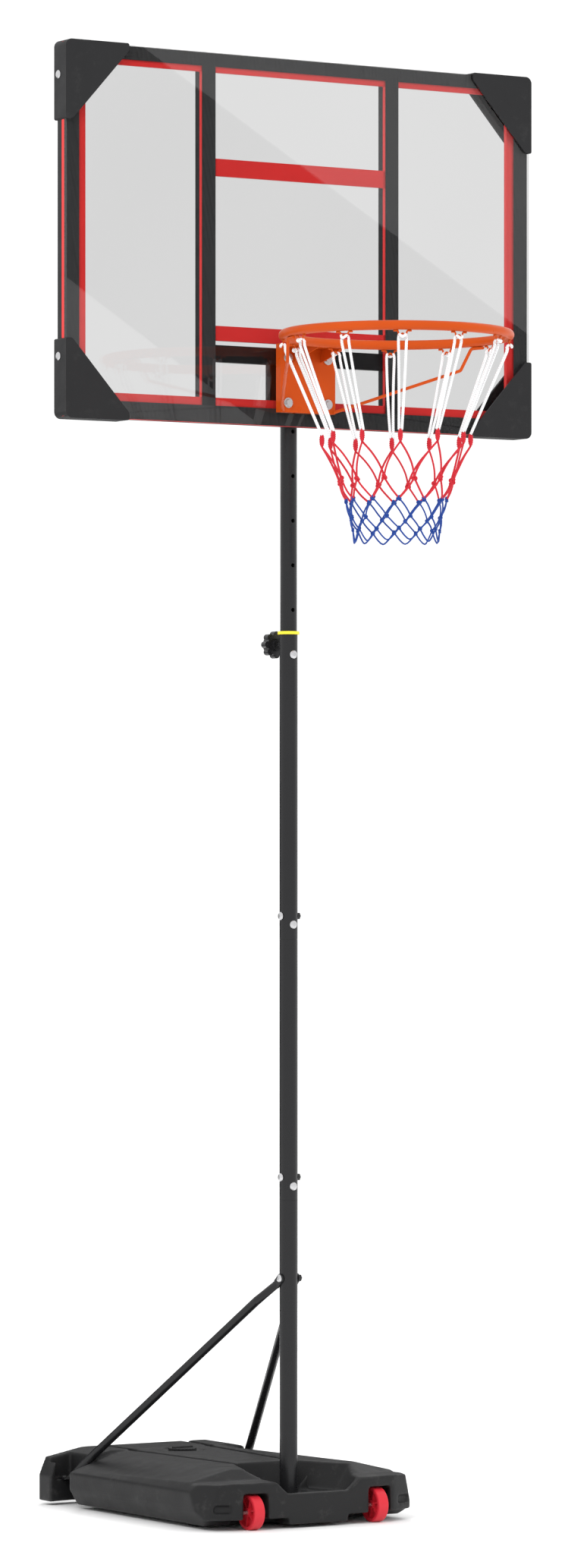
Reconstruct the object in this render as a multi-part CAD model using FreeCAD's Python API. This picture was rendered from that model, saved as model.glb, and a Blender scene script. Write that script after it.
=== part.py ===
"""Portable basketball hoop: wheeled ballast tank, telescoping pole, framed clear backboard, rim and net.

Millimetres.  The origin is on the floor, on the axis of the pole.  +Z is up, and the rim faces -Y.
"""
import FreeCAD, Part
import math
import os

V = FreeCAD.Vector
X_AXIS = V(1, 0, 0)
Y_AXIS = V(0, 1, 0)
Z_AXIS = V(0, 0, 1)

# ---------------------------------------------------------------- driving dimensions
# pole
OUTER_OD = 37.0
OUTER_ID = 34.7
INNER_OD = 34.5
INNER_ID = 32.1
SPIGOT_OD = 34.5
SPIGOT_LENGTH = 70.0
POLE_FOOT_Z = 24.0
SEAM_LOW_Z = 660.0
SEAM_HIGH_Z = 1195.0
OUTER_TOP_Z = 1823.0
INNER_FOOT_Z = 1640.0
INNER_TOP_Z = 2436.0
HOLE_PITCH = 91.4
LOCK_HOLE_Z = 1779.1
HEIGHT_STEPS = 4

# backboard: layers from front to back
BOARD_FRONT_Y = -57.0
SHEET_THICK = 8.0
FILM_THICK = 0.4
TAPE_THICK = 2.6
TRIM_THICK = 9.0
TUBE_DEPTH = 17.0
TUBE_WIDE = 30.0
TUBE_WALL = 1.5
BOARD_HALF = 558.5
BOARD_LOW_Z = 2243.6
BOARD_HIGH_Z = 2992.6
FILM_SIDE = 33.5
FILM_TOP = 27.0
FILM_BOTTOM = 35.0
TRIM_SIDE = 49.5
TRIM_TOP = 38.0
TRIM_BOTTOM = 51.4
UPRIGHT_X = 221.5
BAND_HIGH = (2745.0, 2780.0)
BAND_LOW = (2411.0, 2441.0)
CROSSBAR = (2369.0, 2403.0)
MOUNT_HALF = 68.0

# corner guards
PAD_PROUD = 4.0
PAD_LEG_X = 147.0
PAD_LEG_Z = 160.0
PAD_END = 15.0
PAD_BACK = 7.0
PAD_BOLT_Z = (2364.0, 2927.5)
PAD_BOLT_Y = -30.0

# rim
RIM_Z = 2404.0
RIM_Y = -405.0
RIM_RADIUS = 226.0
RIM_BAR = 9.5
BRACKET_HALF = 66.0
BRACKET_Z = (2270.0, 2410.0)
BRACKET_FRONT_Y = -75.0
PLATE = 3.0
RIM_BOLT_X = 48.0
RIM_BOLT_Z = (2289.3, 2380.9)
BRACE_R = 3.25
HOOK_COUNT = 12
HOOK_R = 1.75

# tank
TANK_HALF = 256.0
TANK_FRONT_Y = -118.0
TANK_BACK_Y = 587.5
TANK_LOW_Z = 8.0
TANK_TOP_Z = 120.0
TANK_WALL = 5.0
NOSE_HALF = 71.0
NOSE_RISE_Z = 22.0
POCKET_FLOOR_Z = 62.0
LIP_Z = 71.0
GROOVE_FLOOR_Z = 103.0
NOTCH_X = 190.0
NOTCH_Y = (460.0, 532.0)
CAP_Y = 422.0
FILLER_FLOOR_Z = 111.0
FILLER_HOLE_R = 20.0
BALLAST_TOP_Z = 98.0

# wheels
WHEEL_X = 149.0
WHEEL_Y = -95.0
WHEEL_R = 36.0
WHEEL_WIDE = 24.0
WHEEL_SLOT_HALF = 28.0
AXLE_R = 4.0

# struts
STRUT_R = 9.0
STRUT_TOP = V(20.1, 0, 499.5)
STRUT_FOOT = V(214.0, 520.0, 62.0)
STRUT_TAB = 3.2
FOOT_TAB_Z = 54.0
FOOT_BOLT = V(216.0, 546.0, FOOT_TAB_Z)

# clamp
CLAMP_Z = 1801.0
STUD_R = 4.0
KNOB_IN_Y = 44.0
KNOB_OUT_Y = 64.0

# bolts
BOLT_R = 4.0
BOLT_HOLE_R = 4.2


# ---------------------------------------------------------------- helpers
def box(low, high):
    size = V(*high) - V(*low)
    return Part.makeBox(size.x, size.y, size.z, V(*low))


def cylinder(radius, start, direction, length):
    return Part.makeCylinder(radius, length, start, direction)


def pipe(outer_r, inner_r, start, direction, length):
    return cylinder(outer_r, start, direction, length).cut(cylinder(inner_r, start, direction, length))


def hexagon(across, start, direction, length):
    points = [V(across / math.sqrt(3) * math.cos(math.radians(a)),
                across / math.sqrt(3) * math.sin(math.radians(a)), 0) for a in range(30, 391, 60)]
    prism = Part.Face(Part.makePolygon(points)).extrude(V(0, 0, length))
    turn = FreeCAD.Rotation(Z_AXIS, direction)
    prism.Placement = FreeCAD.Placement(start, turn)
    return prism


def rounded_outline(corners):
    """Closed wire through (x, y, radius) corners, each corner rounded by a tangent arc."""
    edges = []
    joins = []
    count = len(corners)
    for i in range(count):
        here = V(corners[i][0], corners[i][1], 0)
        before = V(corners[i - 1][0], corners[i - 1][1], 0)
        after = V(corners[(i + 1) % count][0], corners[(i + 1) % count][1], 0)
        to_before = (before - here).normalize()
        to_after = (after - here).normalize()
        half = to_before.getAngle(to_after) / 2
        reach = corners[i][2] / math.tan(half)
        bisector = (to_before + to_after).normalize()
        centre = here + bisector * (corners[i][2] / math.sin(half))
        middle = centre - bisector * corners[i][2]
        joins.append((here + to_before * reach, middle, here + to_after * reach))
    for i in range(count):
        start, middle, end = joins[i]
        edges.append(Part.Arc(start, middle, end).toShape())
        edges.append(Part.LineSegment(end, joins[(i + 1) % count][0]).toShape())
    return Part.Wire(Part.__sortEdges__(edges))


def prism_z(corners, low_z, high_z):
    face = Part.Face(rounded_outline(corners))
    face.translate(V(0, 0, low_z))
    return face.extrude(V(0, 0, high_z - low_z))


def prism_y(points, low_y, high_y):
    """Sharp polygon of (x, z) points, pushed along Y."""
    wire = Part.makePolygon([V(x, low_y, z) for x, z in points + points[:1]])
    return Part.Face(wire).extrude(V(0, high_y - low_y, 0))


def prism_x(points, low_x, high_x):
    """Sharp polygon of (y, z) points, pushed along X."""
    wire = Part.makePolygon([V(low_x, y, z) for y, z in points + points[:1]])
    return Part.Face(wire).extrude(V(high_x - low_x, 0, 0))


def bent_rod(points, radius, bend):
    """Round rod through the points, each inner corner bent to the given radius."""
    edges = []
    start = points[0]
    for i in range(1, len(points) - 1):
        to_before = (points[i - 1] - points[i]).normalize()
        to_after = (points[i + 1] - points[i]).normalize()
        half = to_before.getAngle(to_after) / 2
        reach = bend / math.tan(half)
        bisector = (to_before + to_after).normalize()
        middle = points[i] + bisector * (bend / math.sin(half) - bend)
        edges.append(Part.LineSegment(start, points[i] + to_before * reach).toShape())
        edges.append(Part.Arc(points[i] + to_before * reach, middle, points[i] + to_after * reach).toShape())
        start = points[i] + to_after * reach
    edges.append(Part.LineSegment(start, points[-1]).toShape())
    path = Part.Wire(edges)
    circle = Part.makeCircle(radius, points[0], points[1] - points[0])
    return path.makePipeShell([Part.Wire([circle])], True, False)


def mirrored(shape):
    return shape.mirror(V(0, 0, 0), X_AXIS)


def fused(shapes):
    result = shapes[0].multiFuse(shapes[1:]).removeSplitter()
    return result.Solids[0] if len(result.Solids) == 1 else result


def round_head(radius, height, start, direction):
    """Low domed head whose flat side is at start, with a small flat on its crown."""
    rim = height * 0.25
    flat = radius * 0.25
    crown = Part.Arc(V(radius, 0, rim), V(radius * 0.74, 0, height * 0.77), V(flat, 0, height)).toShape()
    sides = [Part.LineSegment(V(0, 0, 0), V(radius, 0, 0)).toShape(),
             Part.LineSegment(V(radius, 0, 0), V(radius, 0, rim)).toShape(), crown,
             Part.LineSegment(V(flat, 0, height), V(0, 0, height)).toShape(),
             Part.LineSegment(V(0, 0, height), V(0, 0, 0)).toShape()]
    head = Part.Face(Part.Wire(sides)).revolve(V(0, 0, 0), Z_AXIS, 360)
    head.Placement = FreeCAD.Placement(start, FreeCAD.Rotation(Z_AXIS, direction))
    return head


def carriage_bolt(start, direction, reach, head_r=8.5, head_h=4.5):
    """Round-head bolt: the head stands back from start, the shank runs reach along direction."""
    head = round_head(head_r, head_h, start, direction * -1)
    return head.fuse(cylinder(BOLT_R, start, direction, reach)).removeSplitter()


def nut(start, direction, height=6.5, across=13.0):
    """Hexagon nut from start along direction, bored to pass the bolt."""
    return hexagon(across, start, direction, height).cut(
        cylinder(BOLT_R + 0.05, start - direction, direction, height + 2))


def group(shapes):
    return Part.makeCompound(shapes)


# ---------------------------------------------------------------- tank
def both_sides(points):
    """A closed outline made of the given (x, y) corners and their mirror images."""
    return points + [(-x, y) for x, y in reversed(points)]


def drafted_well(low_points, high_points, low_z, high_z):
    """Well whose outline changes from low_points to high_points on its way up."""
    wires = []
    for points, z in ((low_points, low_z), (high_points, high_z)):
        wires.append(Part.makePolygon([V(x, y, z) for x, y in points + points[:1]]))
    return Part.makeLoft(wires, True, True)


def tank_envelope(inset):
    """Tank body with every feature; inset shrinks the outside and grows the hollows."""
    half = TANK_HALF - inset
    back = TANK_BACK_Y - inset
    front = TANK_FRONT_Y + inset
    top = TANK_TOP_Z - inset
    body = prism_z([(-half, back, 5), (-half, -52 + inset, 20), (-240 + inset, -90 + inset, 18),
                    (-185, -112 + inset, 40), (-120, front, 60), (120, front, 60), (185, -112 + inset, 40),
                    (240 - inset, -90 + inset, 18), (half, -52 + inset, 20), (half, back, 5)],
                   TANK_LOW_Z + inset, TANK_TOP_Z)
    main = crown_outline(inset, [(TANK_HALF - 14, 100), (190, 111), (150, TANK_TOP_Z)], -150)
    waist = crown_outline(inset, [(TANK_HALF - 12, 81), (190, 97), (150, 109)], 470)
    main = Part.makeLoft([main, waist], True, True)
    rear = prism_y([(-half, TANK_LOW_Z + inset), (half, TANK_LOW_Z + inset), (half, 62),
                    (240 - inset, 99 - inset), (147, 117 - inset), (-147, 117 - inset),
                    (-240 + inset, 99 - inset), (-half, 62)], 469, 650)
    slope = prism_x([(-150, 0), (650, 0), (650, 108 - inset), (580, 116 - inset), (560, top),
                     (-20 + inset, top), (-74 + inset, 99 - inset), (-150, 93 - inset)], -300, 300)
    body = body.common(main.fuse(rear)).common(slope)
    for side in (-1, 1):
        body = body.cut(corner_draft(side, inset))
        body = body.cut(crown_corner(side, inset))
    for hollow in tank_hollows(inset):
        body = body.cut(hollow)
    return body


def crown_outline(inset, shoulder, y):
    """Cross-section of the tank's main block: splayed underside, upright flank, shoulder, shallow centre."""
    half = TANK_HALF - inset
    right = [(half - 20, TANK_LOW_Z + inset), (half, 40), (half, 77)]
    right += [(x - inset, z - inset) for x, z in shoulder[:1]] + [(x, z - inset) for x, z in shoulder[1:]]
    right.append((100, 116 - inset))
    points = right + [(-x, z) for x, z in reversed(right)]
    return Part.makePolygon([V(x, y, z) for x, z in points + points[:1]])


def corner_draft(side, inset):
    """Wedge that leans a front corner of the tank inwards towards its top."""
    out = V(38, -16, 0).normalize()
    along = V(16, 38, 0).normalize()
    middle = V(248, -71, 0) - along * 90
    section = [(-inset, 36), (-13 - inset, 98), (-21 - inset, 125), (60, 125), (60, 36)]
    points = [middle + out * reach + V(0, 0, z) for reach, z in section]
    wedge = Part.Face(Part.makePolygon(points + points[:1])).extrude(along * 180)
    return wedge if side > 0 else mirrored(wedge)


def crown_corner(side, inset):
    """Wedge that slopes a front corner of the raised crown down to the ledge before it."""
    along = V(91, 40, -5).normalize()
    out = V(40, -91, 0).normalize()
    start = V(122, -74, 99) - along * 60
    section = [(-inset, -inset), (-42 - inset, 21 - inset), (-70 - inset, 35 - inset), (80, 35 - inset),
               (80, -inset)]
    points = [start + out * reach + V(0, 0, z) for reach, z in section]
    wedge = Part.Face(Part.makePolygon(points + points[:1])).extrude(along * 220)
    return wedge if side > 0 else mirrored(wedge)


def tank_hollows(grow):
    """The hollows moulded into the tank, each grown by the same amount."""
    g = grow
    floor = both_sides([(-86 - g, -100 - g), (-92 - g, -34), (-62 - g, 82 + g)])
    mouth = both_sides([(-113 - g, -100 - g), (-129 - g, -34), (-73 - g, 100 + g)])
    lip = [(-73 - g, LIP_Z - g), (73 + g, LIP_Z - g), (104 + g, 98 - g), (104 + g, 150), (-104 - g, 150),
           (-104 - g, 98 - g)]
    hollows = [
        drafted_well(floor, mouth, POCKET_FLOOR_Z - g, TANK_TOP_Z + 1),
        prism_y(lip, -150, -95 + g),
        cylinder(OUTER_OD / 2 + 0.1 + g, V(0, 0, POLE_FOOT_Z - 4 - g), Z_AXIS, 150),
        cylinder(46 + g, V(0, CAP_Y, FILLER_FLOOR_Z - g), Z_AXIS, 50)]
    for side in (-1, 1):
        low = side * WHEEL_X - WHEEL_SLOT_HALF - g
        hollows.append(box((low, -150, 0), (low + 2 * (WHEEL_SLOT_HALF + g), WHEEL_Y + 40 + g, 74 + g)))
        axle_start = V(side * WHEEL_X - 40 - g, WHEEL_Y, WHEEL_R)
        hollows.append(cylinder(AXLE_R + 0.1 + g, axle_start, X_AXIS, 80 + 2 * g))
        notch = [(NOTCH_X - g, NOTCH_Y[0] - g), (280, NOTCH_Y[0] - 2 - g), (280, NOTCH_Y[1] - 2 + g),
                 (NOTCH_X - g, NOTCH_Y[1] + 14 + g)]
        shelf = [(NOTCH_X + 1 - g, 520), (243 + g, 520), (243 + g, 563 + g), (NOTCH_X + 1 - g, 563 + g)]
        under = [(-150, -5), (-150, NOSE_RISE_Z + g), (-74, NOSE_RISE_Z + g), (-52, TANK_LOW_Z + g),
                 (-52, -5)]
        under_ends = sorted((side * (NOSE_HALF - g), side * 300))
        grip = [(200 - g, -140), (236 + g, -140), (236 + g, -84 + g), (200 - g, -98 + g)]
        run = STRUT_FOOT - STRUT_TOP
        trough = cylinder(15 + g, STRUT_TOP + run * 0.6, run, run.Length * 0.36 + g)
        hollows.append(side_prism(notch, side, 0, 150))
        hollows.append(side_prism(shelf, side, FOOT_TAB_Z - g, 150))
        hollows.append(prism_x(under, *under_ends))
        hollows.append(side_prism(grip, side, 36 - g, 53 + g))
        hollows.append(trough if side > 0 else mirrored(trough))
        hollows.append(groove(side, g))
    return hollows


def side_prism(points, side, low_z, high_z):
    """Prism on one side of the tank, from its right-hand outline."""
    corners = [(side * x, y, 3) for x, y in points]
    return prism_z(corners if side > 0 else corners[::-1], low_z, high_z)


def groove(side, grow):
    """Long narrow channel beside the centre panel, spreading towards the back."""
    front = V(side * 70, 92, 0)
    rear = V(side * 105, 620, 0)
    along = (rear - front).normalize()
    across = V(-along.y, along.x, 0) * (9 + grow)
    points = [front + across, rear + across, rear - across, front - across]
    wire = Part.makePolygon([V(p.x, p.y, GROOVE_FLOOR_Z - grow) for p in points + points[:1]])
    return Part.Face(wire).extrude(V(0, 0, 50))


def base_tank():
    """Blow-moulded shell with solid feet and a fin beside the pole in the pocket."""
    shell = tank_envelope(0).cut(tank_envelope(TANK_WALL))
    feet = [box((-50, -28, 0), (50, 44, TANK_LOW_Z + 3))]
    feet += [prism_z([(x - 25, y - 20, 8), (x + 25, y - 20, 8), (x + 25, y + 20, 8), (x - 25, y + 20, 8)],
                     0, TANK_LOW_Z + 3) for x, y in ((-190, 30), (190, 30), (-150, 535), (150, 535))]
    fin = prism_y([(17, POCKET_FLOOR_Z - 2), (49, POCKET_FLOOR_Z - 2), (46, 97), (24, 72)], -1.5, 1.5)
    tank = fused([shell, fin] + feet)
    tank = tank.cut(cylinder(OUTER_OD / 2 + 0.1, V(0, 0, POLE_FOOT_Z - 4), Z_AXIS, 100))
    tank = tank.cut(cylinder(FILLER_HOLE_R, V(0, CAP_Y, 90), Z_AXIS, 60))
    for side in (-1, 1):
        bolt_start = V(side * FOOT_BOLT.x, FOOT_BOLT.y, FOOT_TAB_Z - 12)
        tank = tank.cut(cylinder(BOLT_HOLE_R, bolt_start, Z_AXIS, 15))
    return tank.Solids[0]


def ballast_water():
    """The fill: the inside of the tank up to its fill level, a hair clear of the walls."""
    level = box((-300, -150, 0), (300, 650, BALLAST_TOP_Z))
    return tank_envelope(TANK_WALL + 0.5).common(level).Solids[0]


def filler_cap():
    """Screw cap with a grooved edge, a cross grip and a plug that enters the neck."""
    low = FILLER_FLOOR_Z + 1.5
    cap = cylinder(30, V(0, CAP_Y, low), Z_AXIS, 6)
    for i in range(24):
        angle = math.radians(15 * i)
        edge = V(30.6 * math.cos(angle), CAP_Y + 30.6 * math.sin(angle), low)
        cap = cap.cut(cylinder(1.6, edge, Z_AXIS, 6))
    grip = box((-24, CAP_Y - 3, low + 5), (24, CAP_Y + 3, low + 9.5))
    plug = pipe(FILLER_HOLE_R - 0.6, FILLER_HOLE_R - 4, V(0, CAP_Y, low - 10), Z_AXIS, 11)
    return fused([cap, grip, plug])


def filler_gasket():
    return pipe(28, FILLER_HOLE_R + 0.5, V(0, CAP_Y, FILLER_FLOOR_Z), Z_AXIS, 1.5)


# ---------------------------------------------------------------- pole
def cross_holes(z_side, z_front, radius=BOLT_HOLE_R):
    return [cylinder(radius, V(-40, 0, z_side), X_AXIS, 80), cylinder(radius, V(0, -40, z_front), Y_AXIS, 80)]


JOINT_HOLES = ((SEAM_LOW_Z + 47, SEAM_LOW_Z + 29), (SEAM_HIGH_Z + 48, SEAM_HIGH_Z + 30.5))


def section(low_z, high_z, spigot_top):
    """Outer pole section, with a swaged neck on its top end when another section goes over it."""
    tube = pipe(OUTER_OD / 2, OUTER_ID / 2, V(0, 0, low_z), Z_AXIS, high_z - low_z)
    if not spigot_top:
        return tube
    outline = [(OUTER_OD / 2, high_z - 8), (OUTER_OD / 2, high_z - 0.2), (SPIGOT_OD / 2, high_z),
               (SPIGOT_OD / 2, high_z + SPIGOT_LENGTH), (SPIGOT_OD / 2 - 1.3, high_z + SPIGOT_LENGTH),
               (SPIGOT_OD / 2 - 1.3, high_z - 8)]
    wire = Part.makePolygon([V(r, 0, z) for r, z in outline + outline[:1]])
    neck = Part.Face(wire).revolve(V(0, 0, 0), Z_AXIS, 360)
    return fused([tube, neck])


def pole_bottom():
    tube = section(POLE_FOOT_Z, SEAM_LOW_Z, True)
    for hole in cross_holes(*JOINT_HOLES[0]) + [cylinder(BOLT_HOLE_R, V(-40, 0, STRUT_TOP.z), X_AXIS, 80)]:
        tube = tube.cut(hole)
    return tube


def pole_middle():
    tube = section(SEAM_LOW_Z + 0.3, SEAM_HIGH_Z, True)
    for hole in cross_holes(*JOINT_HOLES[0]) + cross_holes(*JOINT_HOLES[1]):
        tube = tube.cut(hole)
    return tube


def pole_top_outer():
    tube = section(SEAM_HIGH_Z + 0.3, OUTER_TOP_Z, False)
    holes = cross_holes(*JOINT_HOLES[1])
    holes.append(cylinder(BOLT_HOLE_R, V(0, -40, LOCK_HOLE_Z), Y_AXIS, 40))
    holes.append(cylinder(STUD_R + 1.0, V(0, 0, CLAMP_Z), Y_AXIS, 40))
    for hole in holes:
        tube = tube.cut(hole)
    return tube


def pole_foot_cap():
    foot = cylinder(OUTER_OD / 2, V(0, 0, POLE_FOOT_Z - 3.8), Z_AXIS, 3.8)
    plug = cylinder(OUTER_ID / 2 - 0.1, V(0, 0, POLE_FOOT_Z - 3.8), Z_AXIS, 20)
    return fused([foot, plug])


def pole_inner():
    """Telescoping tube: height holes through the front and back walls, and the board bolts above."""
    tube = pipe(INNER_OD / 2, INNER_ID / 2, V(0, 0, INNER_FOOT_Z), Z_AXIS, INNER_TOP_Z - INNER_FOOT_Z)
    levels = [LOCK_HOLE_Z + HOLE_PITCH * i for i in range(-1, 6)]
    for z in levels + list(POLE_BOLT_Z):
        tube = tube.cut(cylinder(BOLT_HOLE_R, V(0, -40, z), Y_AXIS, 80))
    return tube


def pole_inner_cap():
    lid = cylinder(INNER_OD / 2 + 0.8, V(0, 0, INNER_TOP_Z), Z_AXIS, 3)
    plug = cylinder(INNER_ID / 2 - 0.1, V(0, 0, INNER_TOP_Z - 14), Z_AXIS, 15)
    return fused([lid, plug])


def limit_ring():
    """Ring seated over the top end of the outer pole; its lip surrounds the sliding tube."""
    ring = pipe(22.5, INNER_OD / 2 + 0.4, V(0, 0, OUTER_TOP_Z - 2.4), Z_AXIS, 6.3)
    return ring.cut(cylinder(OUTER_OD / 2, V(0, 0, OUTER_TOP_Z - 3), Z_AXIS, 3))


def joint_bolts():
    bolts = []
    for side_z, front_z in JOINT_HOLES:
        bolts.append(carriage_bolt(V(-OUTER_OD / 2, 0, side_z), X_AXIS, OUTER_OD + 9))
        bolts.append(carriage_bolt(V(0, -OUTER_OD / 2, front_z), Y_AXIS, OUTER_OD + 9))
    return group(bolts)


def joint_nuts():
    nuts = []
    for side_z, front_z in JOINT_HOLES:
        nuts.append(nut(V(OUTER_OD / 2, 0, side_z), X_AXIS))
        nuts.append(nut(V(0, OUTER_OD / 2, front_z), Y_AXIS))
    return group(nuts)


def lock_bolt():
    """Height bolt, drawn back so that its end stands in the wall of the outer pole."""
    return carriage_bolt(V(0, -OUTER_OD / 2, LOCK_HOLE_Z), Y_AXIS, 0.9)


# ---------------------------------------------------------------- clamp
def clamp_boss():
    """Threaded boss welded to the back of the outer pole."""
    boss = cylinder(9, V(0, 10, CLAMP_Z), Y_AXIS, 18)
    boss = boss.cut(cylinder(OUTER_OD / 2, V(0, 0, CLAMP_Z - 30), Z_AXIS, 60))
    return boss.cut(cylinder(STUD_R + 0.05, V(0, 5, CLAMP_Z), Y_AXIS, 40))


def clamp_pad():
    """Swivel pad at the tip of the stud; it presses on the inner pole when the knob is tight."""
    return cylinder(STUD_R - 0.3, V(0, INNER_OD / 2 + 0.3, CLAMP_Z), Y_AXIS, 2.2)


def clamp_stud():
    start = INNER_OD / 2 + 0.3 + 2.2
    return cylinder(STUD_R, V(0, start, CLAMP_Z), Y_AXIS, KNOB_OUT_Y - 5 - start)


def clamp_knob():
    """Eight-lobed hand knob with a round neck, bored for the stud and the end cap."""
    lobes = 8
    head = cylinder(22.5, V(0, KNOB_IN_Y, CLAMP_Z), Y_AXIS, KNOB_OUT_Y - KNOB_IN_Y)
    shapes = [head, cylinder(13, V(0, KNOB_IN_Y - 8, CLAMP_Z), Y_AXIS, 10)]
    for i in range(lobes):
        angle = math.radians(360 / lobes * i)
        centre = V(21 * math.cos(angle), KNOB_IN_Y + 2, CLAMP_Z + 21 * math.sin(angle))
        shapes.append(cylinder(7, centre, Y_AXIS, KNOB_OUT_Y - KNOB_IN_Y - 4))
    knob = fused(shapes)
    knob = knob.cut(cylinder(STUD_R, V(0, 0, CLAMP_Z), Y_AXIS, KNOB_OUT_Y - 5))
    return knob.cut(cylinder(9, V(0, KNOB_OUT_Y - 5, CLAMP_Z), Y_AXIS, 10))


def knob_insert():
    disc = cylinder(9, V(0, KNOB_OUT_Y - 5, CLAMP_Z), Y_AXIS, 5)
    return fused([disc, round_head(8, 1.6, V(0, KNOB_OUT_Y, CLAMP_Z), Y_AXIS)])


# ---------------------------------------------------------------- struts
def ring_wire(centre, first, second):
    """Twenty-sided oval through the ends of its two half-axes."""
    turns = [math.pi / 10 * i for i in range(20)]
    points = [centre + first * math.cos(turn) + second * math.sin(turn) for turn in turns]
    return Part.makePolygon(points + points[:1])


def upright(along, towards):
    """Half-axis of the round tube, square to its run and leaning towards a direction."""
    return (towards - along * along.dot(towards)).normalize() * STRUT_R


def strut():
    """Right-hand strut: round tube pressed flat at both ends, the top against the pole, the foot level."""
    run = STRUT_FOOT - STRUT_TOP
    along = run * (1 / run.Length)
    down = V(0, along.y, along.z).normalize()
    broad = V(0, -down.z, down.y)
    round_from = STRUT_TOP + along * 78
    round_to = STRUT_FOOT - along * 42
    heel = V(STRUT_FOOT.x, STRUT_FOOT.y + 8, FOOT_TAB_Z + STRUT_TAB / 2)
    flat = V(STRUT_TAB / 2, 0, 0)
    wide = 1.02
    up = upright(along, broad) * wide
    level = upright(along, X_AXIS) * wide
    tube = cylinder(STRUT_R, round_from, along, (round_to - round_from).Length)
    neck = Part.makeLoft([ring_wire(STRUT_TOP + down * 20, broad * 9.7, flat * 0.94),
                          ring_wire(round_from, up, level)], True, True)
    ankle = Part.makeLoft([ring_wire(round_to, up, level),
                           ring_wire(heel, V(0, 0, STRUT_TAB / 2 * 0.94), V(10.7, 0, 0))], True, True)
    tab = cylinder(10, STRUT_TOP - flat, X_AXIS, STRUT_TAB)
    corners = [STRUT_TOP - flat + offset for offset in (
        broad * 10, broad * -10, broad * -10 + down * 20, broad * 10 + down * 20)]
    plate = Part.Face(Part.makePolygon(corners + corners[:1])).extrude(flat * 2)
    foot = prism_z([(FOOT_BOLT.x - 13, heel.y, 1), (FOOT_BOLT.x + 9, heel.y, 1),
                    (FOOT_BOLT.x + 11, FOOT_BOLT.y + 11, 8), (FOOT_BOLT.x - 11, FOOT_BOLT.y + 11, 8)],
                   FOOT_TAB_Z, FOOT_TAB_Z + STRUT_TAB)
    shape = fused([tube, neck, tab, plate, ankle, foot])
    shape = shape.cut(cylinder(BOLT_HOLE_R, V(0, 0, STRUT_TOP.z), X_AXIS, 60))
    return shape.cut(cylinder(BOLT_HOLE_R, V(FOOT_BOLT.x, FOOT_BOLT.y, 0), Z_AXIS, 70)).Solids[0]


def strut_bolt():
    side = OUTER_OD / 2 + STRUT_TAB
    return carriage_bolt(V(-side, 0, STRUT_TOP.z), X_AXIS, 2 * side + 9)


def strut_nut():
    return nut(V(OUTER_OD / 2 + STRUT_TAB, 0, STRUT_TOP.z), X_AXIS)


def strut_foot_bolts():
    bolts = []
    for side in (-1, 1):
        start = V(side * FOOT_BOLT.x, FOOT_BOLT.y, FOOT_TAB_Z + STRUT_TAB)
        bolts.append(carriage_bolt(start, Z_AXIS * -1, 7.5, 7.5, 4.0))
    return group(bolts)


# ---------------------------------------------------------------- wheels
def wheel():
    """Moulded wheel: rounded tyre band, web with six ribs, hub bored for the axle."""
    low = -WHEEL_WIDE / 2
    disc = cylinder(WHEEL_R, V(low, 0, 0), X_AXIS, WHEEL_WIDE)
    rims = [edge for edge in disc.Edges if abs(edge.Length - 2 * math.pi * WHEEL_R) < 0.1]
    band = disc.makeFillet(3, rims).cut(cylinder(WHEEL_R - 7, V(low - 1, 0, 0), X_AXIS, WHEEL_WIDE + 2))
    hub = cylinder(9, V(low + 1, 0, 0), X_AXIS, WHEEL_WIDE - 2)
    web = cylinder(WHEEL_R - 5, V(-2, 0, 0), X_AXIS, 4)
    shapes = [band, hub, web]
    for i in range(6):
        rib = box((low + 4, -1.5, 7), (-low - 4, 1.5, WHEEL_R - 5))
        rib.rotate(V(0, 0, 0), X_AXIS, 60 * i + 15)
        shapes.append(rib)
    shape = fused(shapes)
    return shape.cut(cylinder(AXLE_R + 0.08, V(low - 5, 0, 0), X_AXIS, WHEEL_WIDE + 10))


def placed_wheel(side):
    shape = wheel()
    shape.translate(V(side * WHEEL_X, WHEEL_Y, WHEEL_R))
    return shape


def wheel_axles():
    return group([cylinder(AXLE_R, V(side * WHEEL_X - 38, WHEEL_Y, WHEEL_R), X_AXIS, 76) for side in (-1, 1)])


# ---------------------------------------------------------------- backboard frame
FILM_Y = BOARD_FRONT_Y + SHEET_THICK
TAPE_Y = FILM_Y + FILM_THICK
TRIM_Y = TAPE_Y + TAPE_THICK
TUBE_Y = TRIM_Y + TRIM_THICK
FRAME_BACK_Y = TUBE_Y + TUBE_DEPTH
POLE_BOLT_Z = (2310.0, 2386.0)


def tube_box(low, high, along):
    """Rectangular hollow section between two corners, open along one axis (0 = X, 2 = Z)."""
    inner_low = [value + TUBE_WALL for value in low]
    inner_high = [value - TUBE_WALL for value in high]
    inner_low[along] = low[along] - 1
    inner_high[along] = high[along] + 1
    return box(low, high).cut(box(inner_low, inner_high))


def frame_rail(low_z):
    return tube_box((-BOARD_HALF, TUBE_Y, low_z), (BOARD_HALF, FRAME_BACK_Y, low_z + TUBE_WIDE), 0)


def frame_post(centre_x):
    return tube_box((centre_x - TUBE_WIDE / 2, TUBE_Y, BOARD_LOW_Z + TUBE_WIDE),
                    (centre_x + TUBE_WIDE / 2, FRAME_BACK_Y, BOARD_HIGH_Z - TUBE_WIDE), 2)


def pad_bolt_holes():
    return [cylinder(BOLT_HOLE_R, V(-600, PAD_BOLT_Y, z), X_AXIS, 1200) for z in PAD_BOLT_Z]


def frame_stile(side):
    post = frame_post(side * (BOARD_HALF - TUBE_WIDE / 2))
    for hole in pad_bolt_holes():
        post = post.cut(hole)
    return post


def rim_bolt_holes():
    return [cylinder(BOLT_HOLE_R, V(side * RIM_BOLT_X, -100, z), Y_AXIS, 120)
            for side in (-1, 1) for z in RIM_BOLT_Z]


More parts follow.
